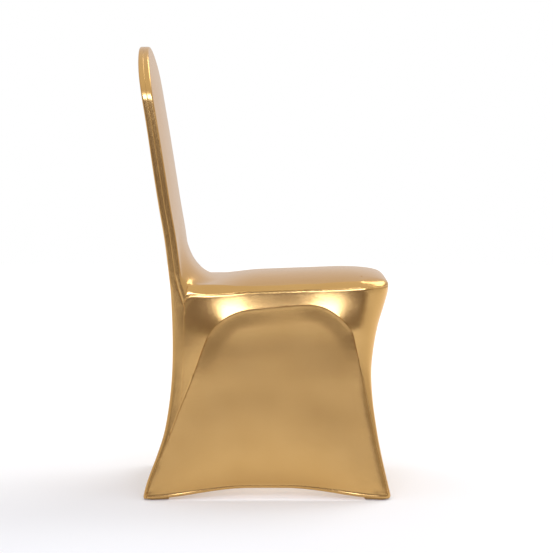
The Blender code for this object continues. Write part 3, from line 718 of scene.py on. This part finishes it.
BACK_HALF_WIDTH = 0.200
CROWN_START = 0.818
TOP = 0.937
STRIP_EDGE = 0.004
BACK_PADDING = 0.006
PADDING_REACH = 0.14
PADDING_TOP_REACH = 0.10
SEAT_CROWN = 0.0127
SEAT_CROWN_SHAPE = 2.4
SEAT_CROWN_REACH = 0.14
SEAT_CROWN_FRONT = 0.12
SEAT_SIDE_FALL = 0.009
SIDE_EDGE_ROUND = 0.010
FRONT_EDGE_ROUND = 0.056
SIDE_EDGE_LEAN = 0.65
EDGE_DROP_SHARE = 0.80
TAIL_EDGE = 0.030
TAIL_REACH = 0.06
TAIL_MIDDLE = (0.1752, 0.4340)
TAIL_TOP = 0.466
TANGENT_STEP = 0.004
WEB_UP = 0.150
WEB_FORWARD = 0.085
WEB_SIDE = 0.018
WEB_SHAPE = 2.6
FLAT_NEXT_TO_CORNER = 0.02
CORNER_DOWN = TOP - CORNER_HEIGHT
CROWN_SAMPLES = 400
CROWN_SPLIT = 260
CROWN_STEPS = 44
SHOULDER_STEPS = 32
STRIP_STEPS = 66
TAIL_STEPS = 26
EDGE_STEPS = 14
RELAX_ROUNDS = 25
RUN_STEPS = 3

# Front and back faces of the backrest at each height
Lean = namedtuple("Lean", "height front rear")
BACKREST = (
    Lean(0.4415, 0.1670, 0.1925),
    Lean(0.5350, 0.1790, 0.2035),
    Lean(0.5970, 0.1895, 0.2140),
    Lean(0.6780, 0.2020, 0.2265),
    Lean(0.7620, 0.2152, 0.2385),
    Lean(0.8540, 0.2305, 0.2530),
    Lean(0.9370, 0.2435, 0.2640),
)


def front_face(height):
    """Where the backrest's front face stands at a height."""
    return look_up(BACKREST, "height", "front", height)


def rear_face(height):
    """Where the back face of the cover stands at a height."""
    if height < CORNER_HEIGHT:
        return look_up(SECTIONS, "height", "rear", height)
    return look_up(BACKREST, "height", "rear", height)


def inner_point(x, down):
    """A point of the inner piece: x across, and the way down the back and forward on the seat."""
    def profile(place):
        if place <= CORNER_DOWN:
            return Vector((front_face(TOP - place), TOP - place))
        back = CORNER_BACK - (place - CORNER_DOWN)
        return Vector((back, seat_top(back)))

    side_share = min(abs(x) / BACK_HALF_WIDTH, 1.0)
    middle_share = 1 - side_share ** WEB_SHAPE
    up = WEB_SIDE + (WEB_UP - WEB_SIDE) * middle_share
    forward = WEB_SIDE + (WEB_FORWARD - WEB_SIDE) * middle_share
    offset = down - CORNER_DOWN
    if -up < offset < forward:
        t = (offset + up) / (up + forward)
        flat = (profile(CORNER_DOWN - up) * (1 - t) ** 2 + profile(CORNER_DOWN) * 2 * t * (1 - t)
                + profile(CORNER_DOWN + forward) * t ** 2)
    else:
        flat = profile(down)
    on_seat = ease((offset - FLAT_NEXT_TO_CORNER) / SEAT_CROWN_REACH)
    on_back = ease((-offset - FLAT_NEXT_TO_CORNER) / PADDING_REACH) * ease(down / PADDING_TOP_REACH)
    back = flat.x - BACK_PADDING * on_back * (1 - side_share ** 2)
    front_share = max(1 - (CORNER_BACK - offset - SEAT_FRONT) / SEAT_CROWN_FRONT, 0.0)
    crown = SEAT_CROWN * on_seat * (1 - side_share ** SEAT_CROWN_SHAPE)
    crown *= 1 - front_share ** SEAT_CROWN_SHAPE
    crown -= SEAT_SIDE_FALL * on_seat * side_share ** SEAT_CROWN_SHAPE
    height = flat.y + crown
    return Vector((x, back, height))


def crown_point(share):
    """The backrest's outline seen from the front: 0 at the top middle, 1 at the shoulder."""
    angle = pi / 2 * (1 - share)
    return Vector((-BACK_HALF_WIDTH * cos(angle), CROWN_START + (TOP - CROWN_START) * sin(angle)))


def strip_outline():
    """Stations round the backrest, from the top middle to the tail's top, and the way inwards."""
    crown_fine = [crown_point(k / CROWN_SAMPLES) for k in range(CROWN_SAMPLES + 1)]
    crown = even_points(crown_fine[:CROWN_SPLIT + 1], CROWN_STEPS)
    crown += even_points(crown_fine[CROWN_SPLIT:], SHOULDER_STEPS)[1:]
    stations = []
    for point in crown:
        normal = Vector((point.x / BACK_HALF_WIDTH ** 2,
                         (point.y - CROWN_START) / (TOP - CROWN_START) ** 2)).normalized()
        stations.append((point, -normal))
    for k in range(1, STRIP_STEPS + 1):
        height = CROWN_START + (TAIL_TOP - CROWN_START) * k / STRIP_STEPS
        stations.append((Vector((-BACK_HALF_WIDTH, height)), Vector((1, 0))))
    return stations


def ring_row(face, corner, end, seam):
    """A round edge from the face over the corner to the side, and on to the seam."""
    row = []
    for k in range(EDGE_STEPS + 1):
        t = k / EDGE_STEPS
        row.append(face * (1 - t) ** 2 + corner * 2 * t * (1 - t) + end * t ** 2)
    for k in range(1, RUN_STEPS + 1):
        row.append(end.lerp(seam, k / RUN_STEPS))
    return row


def ring_flats(ring, flats, outs):
    """Places on the flat cloth for the edge rows: each row runs outwards from its start."""
    places = []
    for row, start, out in zip(ring, flats, outs):
        reach = 0.0
        line = [tuple(start)]
        for before, after in zip(row, row[1:]):
            reach += (after - before).length
            line.append(tuple(start + out * reach))
        places.append(line)
    return places


strip = strip_outline()
strip_seams = []
for outline, inward in strip:
    middle_back = (front_face(outline.y) + rear_face(outline.y)) / 2
    strip_seams.append(Vector((outline.x, middle_back, outline.y)))

strip_end = [(seam.y, seam.z) for seam in strip_seams[-2:]]
tail_curve = smooth_curve(strip_end + [TAIL_MIDDLE, SEAT_TAIL[0]])[CURVE_STEPS:]
tail_seams = []
for place in even_points(tail_curve, TAIL_STEPS)[1:]:
    tail_seams.append(Vector((-BACK_HALF_WIDTH, place.x, place.y)))


def plan_outward(k):
    """The direction out of the seat in plan, at a point of its seam."""
    before = seat_seam[max(k - 1, 0)]
    after = seat_seam[min(k + 1, len(seat_seam) - 1)]
    along = (after - before).to_2d()
    if k == len(seat_seam) - 1:
        return Vector((0, -1, 0))
    return Vector((along.y, -along.x, 0)).normalized()


def edge_start(flat, flat_out):
    """Where a round edge leaves the face, and the face's slope outwards there."""
    face = inner_point(*flat)
    return face, (face - inner_point(*(flat - flat_out * TANGENT_STEP))) / TANGENT_STEP


def inner_ring():
    """Edge rows all round the inner piece, and where each one starts on the flat pattern."""
    ring = []
    flats = []
    outs = []
    for (outline, inward), seam in zip(strip, strip_seams):
        face_place = outline + inward * STRIP_EDGE
        flats.append(Vector((face_place.x, TOP - face_place.y)))
        outs.append(Vector((-inward.x, inward.y)))
        face = inner_point(*flats[-1])
        corner = Vector((outline.x, front_face(outline.y), outline.y))
        ring.append(ring_row(face, corner, corner + Vector((0, STRIP_EDGE, 0)), seam))
    for k, seam in enumerate(tail_seams):
        share = (k + 1) / TAIL_STEPS
        down = TOP - TAIL_TOP + (CORNER_DOWN - TOP + TAIL_TOP) * share
        edge = STRIP_EDGE + (TAIL_EDGE - STRIP_EDGE) * share ** 2
        flats.append(Vector((-BACK_HALF_WIDTH + edge, down)))
        outs.append(Vector((-1, 0)))
        face, tangent = edge_start(flats[-1], Vector((-1, 0)))
        corner = face + tangent * edge
        end = corner.lerp(seam, min(edge / (seam - corner).length, EDGE_DROP_SHARE))
        ring.append(ring_row(face, corner, end, seam))
    for k in range(1, len(seat_seam)):
        seam = seat_seam[k]
        outward = plan_outward(k)
        settled = ease((CORNER_BACK - seam.y) / TAIL_REACH)
        full = SIDE_EDGE_ROUND + (FRONT_EDGE_ROUND - SIDE_EDGE_ROUND) * sqrt(abs(outward.y))
        edge = TAIL_EDGE + (full - TAIL_EDGE) * settled
        inside = seam - outward * edge
        flats.append(Vector((inside.x, CORNER_DOWN + CORNER_BACK - inside.y)))
        outs.append(Vector((outward.x, -outward.y)))
        face, tangent = edge_start(flats[-1], Vector((outward.x, -outward.y)))
        reach = edge * (1 - SIDE_EDGE_LEAN * settled * (1 - abs(outward.y)))
        corner = face + tangent * reach
        ring.append(ring_row(face, corner, corner.lerp(seam, EDGE_DROP_SHARE), seam))
    return ring, flats, outs


def inner_face(places):
    """The face inside the ring, worked out on the flat pattern and laid on the form."""
    last = len(places) - 1 - CROWN_STEPS
    top = places[:CROWN_STEPS + 1]
    side = places[CROWN_STEPS:last + 1]
    bottom = list(reversed(places[last:]))
    reaches = [0.0]
    for before, after in zip(side, side[1:]):
        reaches.append(reaches[-1] + max(after.y - before.y, (after - before).length / 4))
    middle = []
    for reach in reaches:
        share = reach / reaches[-1]
        middle.append(Vector((0, top[0].y + (bottom[0].y - top[0].y) * share)))
    rows = fill(top, bottom, middle, side)
    for _ in range(RELAX_ROUNDS):
        for before, row, after in zip(rows, rows[1:], rows[2:]):
            for k in range(1, len(row) - 1):
                row[k] = (before[k] + after[k] + row[k - 1] + row[k + 1]) / 4
    return [[inner_point(place.x, place.y) for place in row] for row in rows], rows


bm = new_cloth()
ring, flats, outs = inner_ring()
lay_grid(bm, ring, ring_flats(ring, flats, outs))
rows, places = inner_face(flats)
lay_grid(bm, rows, places)
inner = sewn_cloth(bm, "cloth_inner_back_and_seat", mirrored=True, smoothing=6)
inner.data.materials.append(foil)
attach(inner, "root")
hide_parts("inner_back_and_seat")


# Outer back
# The back of the backrest and the plain back below it, down to the rear hem. It is sewn to
# the inner piece round the crown, and to the skirt and the side panels down the rear legs.

OUTER_PADDING_SHARE = 0.5
EDGE_PAST_SEAM = 0.001


def outer_point(x, height):
    """The back face: padded on the backrest, drawn in between the rear legs."""
    half = look_up(SECTIONS, "height", "half_width", height)
    share = min(abs(x) / half, 1.0)
    pull = middle_pull(height) * ease(1 - share)
    padding = BACK_PADDING * OUTER_PADDING_SHARE
    padding *= ease((height - TAIL_TOP) / PADDING_TOP_REACH)
    padding *= 1 - share ** 2
    padding *= ease((TOP - height) / PADDING_TOP_REACH)
    return Vector((x, rear_face(height) - pull + padding, height))


rear_seam = even_points(smooth_curve(REAR_SEAM), REAR_SEAM_STEPS)
rear_seam_points = [skirt_side(p.x, p.y) for p in rear_seam]
low_rear = arch_part(REAR_FOOT, JOIN, LOW_REAR_STEPS)
low_rear_points = [skirt_side(p.x, p.y) for p in low_rear]


def outer_ring():
    """Edge rows of the outer back, from the top middle down to the rear foot."""
    ring = []
    outs = []
    for (outline, inward), seam in zip(strip, strip_seams):
        outs.append(-inward)
        face_place = outline + inward * STRIP_EDGE
        face = outer_point(face_place.x, face_place.y)
        corner = Vector((outline.x, rear_face(outline.y), outline.y))
        ring.append(ring_row(face, corner, corner - Vector((0, STRIP_EDGE, 0)), seam))
    low = tail_seams + rear_seam_points[1:] + list(reversed(low_rear_points))[1:]
    for seam in low:
        outs.append(Vector((-1, 0)))
        height = seam.z
        rear, front, half_width, rear_round, front_round = section(height)
        edge = rear_round if height < CORNER_HEIGHT else STRIP_EDGE
        side_share = ease((CORNER_HEIGHT + TAIL_REACH / 2 - height) / TAIL_REACH)
        edge = STRIP_EDGE + (max(edge, STRIP_EDGE) - STRIP_EDGE) * side_share
        corner = Vector((-half_width, rear_face(height), height))
        face = outer_point(-half_width + edge, height)
        end_back = max(corner.y - edge, seam.y + EDGE_PAST_SEAM)
        ring.append(ring_row(face, corner, Vector((-half_width, end_back, height)), seam))
    return ring, outs


def outer_face(ring):
    """The back face inside the ring, down to the rear hem."""
    places = [Vector((row[0].x, row[0].z)) for row in ring]
    top = places[:CROWN_STEPS + 1]
    side = places[CROWN_STEPS:]
    last = side[-1]
    bottom = []
    for k in range(CROWN_STEPS + 1):
        share = k / CROWN_STEPS
        x = last.x * share
        bottom.append(Vector((x, hem_height(0.5 * (1 + share)))))
    bottom[-1] = last
    middle = []
    for place in side:
        share = (side[0].y - place.y) / (side[0].y - last.y)
        middle.append(Vector((0, top[0].y + (bottom[0].y - top[0].y) * share)))
    rows = fill(top, bottom, middle, side)
    return [[outer_point(place.x, place.y) for place in row] for row in rows]


bm = new_cloth()
ring, outs = outer_ring()
lay_grid(bm, ring, ring_flats(ring, [Vector((row[0].x, row[0].z)) for row in ring], outs))
rows = outer_face(ring)
lay_grid(bm, rows, [[(p.x, p.z) for p in row] for row in rows])
outer = sewn_cloth(bm, "cloth_outer_back", mirrored=True, smoothing=6)
outer.data.materials.append(foil)
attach(outer, "root")
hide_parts("outer_back")


# Foot pockets
# A small cup of the same knit, doubled, sewn into each corner of the hem. It grips a foot and
# keeps the cover stretched down.

POCKET_ACROSS = 0.040
POCKET_ALONG = 0.046
POCKET_HEIGHT = 0.018
POCKET_INSET = 0.0052
POCKET_ROUND = 0.012
POCKET_BACK = ((0.0372, 0.0253), (0.0240, 0.0428))
POCKET_CORNER_STEPS = 8
POCKET_LIFT = 0.0045
POCKET_LIFT_STARTS = 0.020
SOLE_EDGE_ROUND = 0.002
WALL_CUTS = 5


def pocket_outline(front, side, height):
    """The plan of a foot pocket at a height: inside the cover's corner, round at the back."""
    rear, front_line, half_width, rear_round, front_round = section(height)
    toward = -1 if front else 1
    edge = front_line if front else rear
    corner = Vector((side * (half_width - POCKET_INSET), edge - toward * POCKET_INSET))
    inward = Vector((-side, -toward))
    shape = [(0.0, POCKET_ALONG)]
    for k in range(POCKET_CORNER_STEPS + 1):
        angle = pi / 2 * k / POCKET_CORNER_STEPS
        shape.append((POCKET_ROUND * (1 - cos(angle)), POCKET_ROUND * (1 - sin(angle))))
    shape.append((POCKET_ACROSS, 0.0))
    shape += POCKET_BACK
    return [corner + Vector((inward.x * across, inward.y * along)) for across, along in shape]


# The same knit, doubled and rubbed by the floor, which leaves it duller than the cover
pocket_cloth = gold_foil_knit("gold foil knit, doubled and sewn", "#CBA15F", "#BA8F50", 0.38)

for front, right in ((True, False), (True, True), (False, False), (False, True)):
    name = "foot_pocket_" + ("front_" if front else "rear_") + ("right" if right else "left")
    side = 1 if right else -1
    bm = new_cloth()
    outline = pocket_outline(front, side, 0.0)
    sole = bmesh.ops.create_circle(bm, cap_ends=True, segments=len(outline), radius=1)["verts"]
    for vert, place in zip(sole, outline):
        vert.co = (place.x, place.y, 0.0)
    sole_edges = [edge for edge in bm.edges if edge.is_boundary]
    wall = bmesh.ops.extrude_edge_only(bm, edges=sole_edges)["geom"]
    rim = [part for part in wall if isinstance(part, bmesh.types.BMVert)]
    rim_outline = pocket_outline(front, side, POCKET_HEIGHT)
    for vert in rim:
        nearest = min(range(len(outline)), key=lambda k: (outline[k] - vert.co.to_2d()).length)
        vert.co = (rim_outline[nearest].x, rim_outline[nearest].y, POCKET_HEIGHT)
    bmesh.ops.recalc_face_normals(bm, faces=bm.faces)
    low_edges = [edge for edge in bm.edges if all(v.co.z < WELD for v in edge.verts)]
    bmesh.ops.bevel(bm, geom=low_edges, offset=SOLE_EDGE_ROUND, segments=3, profile=0.5,
                    affect="EDGES", material=-1)
    upright = [edge for edge in bm.edges
               if abs(edge.verts[0].co.z - edge.verts[1].co.z) > POCKET_HEIGHT / 2]
    bmesh.ops.subdivide_edges(bm, edges=upright, cuts=WALL_CUTS, use_grid_fill=True)
    for vert in bm.verts:
        along = abs(vert.co.y - outline[1].y) - POCKET_LIFT_STARTS
        lift = POCKET_LIFT * ease(along / (POCKET_ALONG - POCKET_LIFT_STARTS))
        vert.co.z += lift * (1 - vert.co.z / POCKET_HEIGHT)
    mesh = bpy.data.meshes.new("cloth_" + name)
    bm.to_mesh(mesh)
    bm.free()
    mesh.shade_smooth()
    pocket = bpy.data.objects.new("cloth_" + name, mesh)
    bpy.context.collection.objects.link(pocket)
    thickness = pocket.modifiers.new("thickness", "SOLIDIFY")
    thickness.thickness = CLOTH
    thickness.offset = -1.0
    pocket.data.materials.append(pocket_cloth)
    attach(pocket, "root")
    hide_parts(name)


# Floor, light and camera
# A plain pale floor and a soft studio: a white wall beyond the cover, a dark room behind the
# camera, and softboxes above.

FLOOR_SIDES = ((-4.2, 7.0), (-6.0, 6.0))

floor_mesh = bpy.data.meshes.new("studio_floor")
bm = bmesh.new()
for vert in bmesh.ops.create_grid(bm, x_segments=1, y_segments=1, size=1)["verts"]:
    vert.co = (FLOOR_SIDES[0][vert.co.x > 0], FLOOR_SIDES[1][vert.co.y > 0], 0)
bm.to_mesh(floor_mesh)
bm.free()
floor = bpy.data.objects.new("studio_floor", floor_mesh)
bpy.context.collection.objects.link(floor)

# Matt white paper with a painted glow: it emits light of its own, stronger towards the far side, so
# it fades out to white
paper = bpy.data.materials.new("matt white studio paper")
paper.use_nodes = True
shader = paper.node_tree.nodes["Principled BSDF"]
shader.inputs["Base Color"].default_value = from_hex("#E6E6E6")
shader.inputs["Roughness"].default_value = 0.9
spot = add_node(paper.node_tree, "ShaderNodeTexCoord").outputs["Object"]
axes = add_node(paper.node_tree, "ShaderNodeSeparateXYZ", {"Vector": spot})
# Painted glow: the paper's emission strength, weak on the camera side and stronger on the far side
painted_glow = add_node(paper.node_tree, "ShaderNodeMapRange",
                     {"Value": axes.outputs["X"], "From Min": -0.8, "From Max": 2.5,
                      "To Min": 0.05, "To Max": 0.40})
shader.inputs["Emission Color"].default_value = from_hex("#FFFFFF")
paper.node_tree.links.new(painted_glow.outputs[0], shader.inputs["Emission Strength"])
floor.data.materials.append(paper)

# What the foil mirrors: a pale wall all round, a brighter ceiling, and the dark room low down
# behind the camera, as linear light. The camera itself sees plain white.
WALL_LIGHT = (0.79, 0.755, 0.73, 1)
CEILING_LIGHT = (0.95, 0.94, 0.93, 1)
ROOM_LIGHT = (0.13, 0.075, 0.05, 1)

world = bpy.data.worlds.new("studio")
bpy.context.scene.world = world
world.use_nodes = True
tree = world.node_tree
backdrop = tree.nodes["Background"]
look = add_node(tree, "ShaderNodeTexCoord").outputs["Generated"]
axes = add_node(tree, "ShaderNodeSeparateXYZ", {"Vector": look})
toward_room = add_node(tree, "ShaderNodeMapRange",
                       {"Value": axes.outputs["X"], "From Min": -0.50, "From Max": -0.98})
low_room = add_node(tree, "ShaderNodeMapRange",
                    {"Value": axes.outputs["Z"], "From Min": 0.32, "From Max": 0.12},
                    interpolation_type="SMOOTHSTEP")
darkness = add_node(tree, "ShaderNodeMath", {0: toward_room.outputs[0], 1: low_room.outputs[0]},
                    operation="MULTIPLY")
overhead = add_node(tree, "ShaderNodeMapRange",
                    {"Value": axes.outputs["Z"], "From Min": 0.45, "From Max": 0.85},
                    interpolation_type="SMOOTHSTEP")
wall = add_node(tree, "ShaderNodeMix",
                {"A": WALL_LIGHT, "B": CEILING_LIGHT, "Factor": overhead.outputs[0]},
                data_type="RGBA")
colour = add_node(tree, "ShaderNodeMix",
                  {"A": wall.outputs[2], "B": ROOM_LIGHT, "Factor": darkness.outputs[0]},
                  data_type="RGBA")
straight = add_node(tree, "ShaderNodeLightPath").outputs["Is Camera Ray"]
seen = add_node(tree, "ShaderNodeMix",
                {"A": colour.outputs[2], "B": (1, 1, 1, 1), "Factor": straight},
                data_type="RGBA")
tree.links.new(seen.outputs[2], backdrop.inputs["Color"])


def softbox(name, place, target, width, depth, watts, colour="#FFFFFF"):
    """An oblong light at a place, turned to face its target."""
    light = bpy.data.lights.new(name, "AREA")
    light.color = from_hex(colour)[:3]
    light.shape = "RECTANGLE"
    light.size = width
    light.size_y = depth
    light.energy = watts
    lamp = bpy.data.objects.new(name, light)
    lamp.location = place
    lamp.rotation_euler = (Vector(target) - Vector(place)).to_track_quat("-Z", "Y").to_euler()
    bpy.context.collection.objects.link(lamp)


softbox("key_softbox", place=(-4.6, -0.1, 2.05), target=(0, 0, 0.45),
        width=3.4, depth=1.0, watts=122, colour="#D2DFFF")
softbox("front_softbox", place=(2.2, -2.3, 3.6), target=(0, 0, 0.45),
        width=3.2, depth=2.2, watts=62)
softbox("floor_fill", place=(0.0, -0.02, 0.36), target=(0, -0.02, 0),
        width=0.28, depth=0.28, watts=0.9)

# The photo's camera: straight from the left side, a little above the seat and tilted down
CAMERA_PLACE = (-4.0, -0.0254, 0.739)
CAMERA_TILT = 4.188
CAMERA_LENS = 121.35

camera_data = bpy.data.cameras.new("photo_camera")
camera_data.lens = CAMERA_LENS
camera_data.sensor_width = 36.0
camera = bpy.data.objects.new("photo_camera", camera_data)
camera.location = CAMERA_PLACE
camera.rotation_euler = (radians(90 - CAMERA_TILT), 0, radians(-90))
bpy.context.collection.objects.link(camera)
bpy.context.scene.camera = camera
bpy.context.scene.view_settings.view_transform = "Standard"
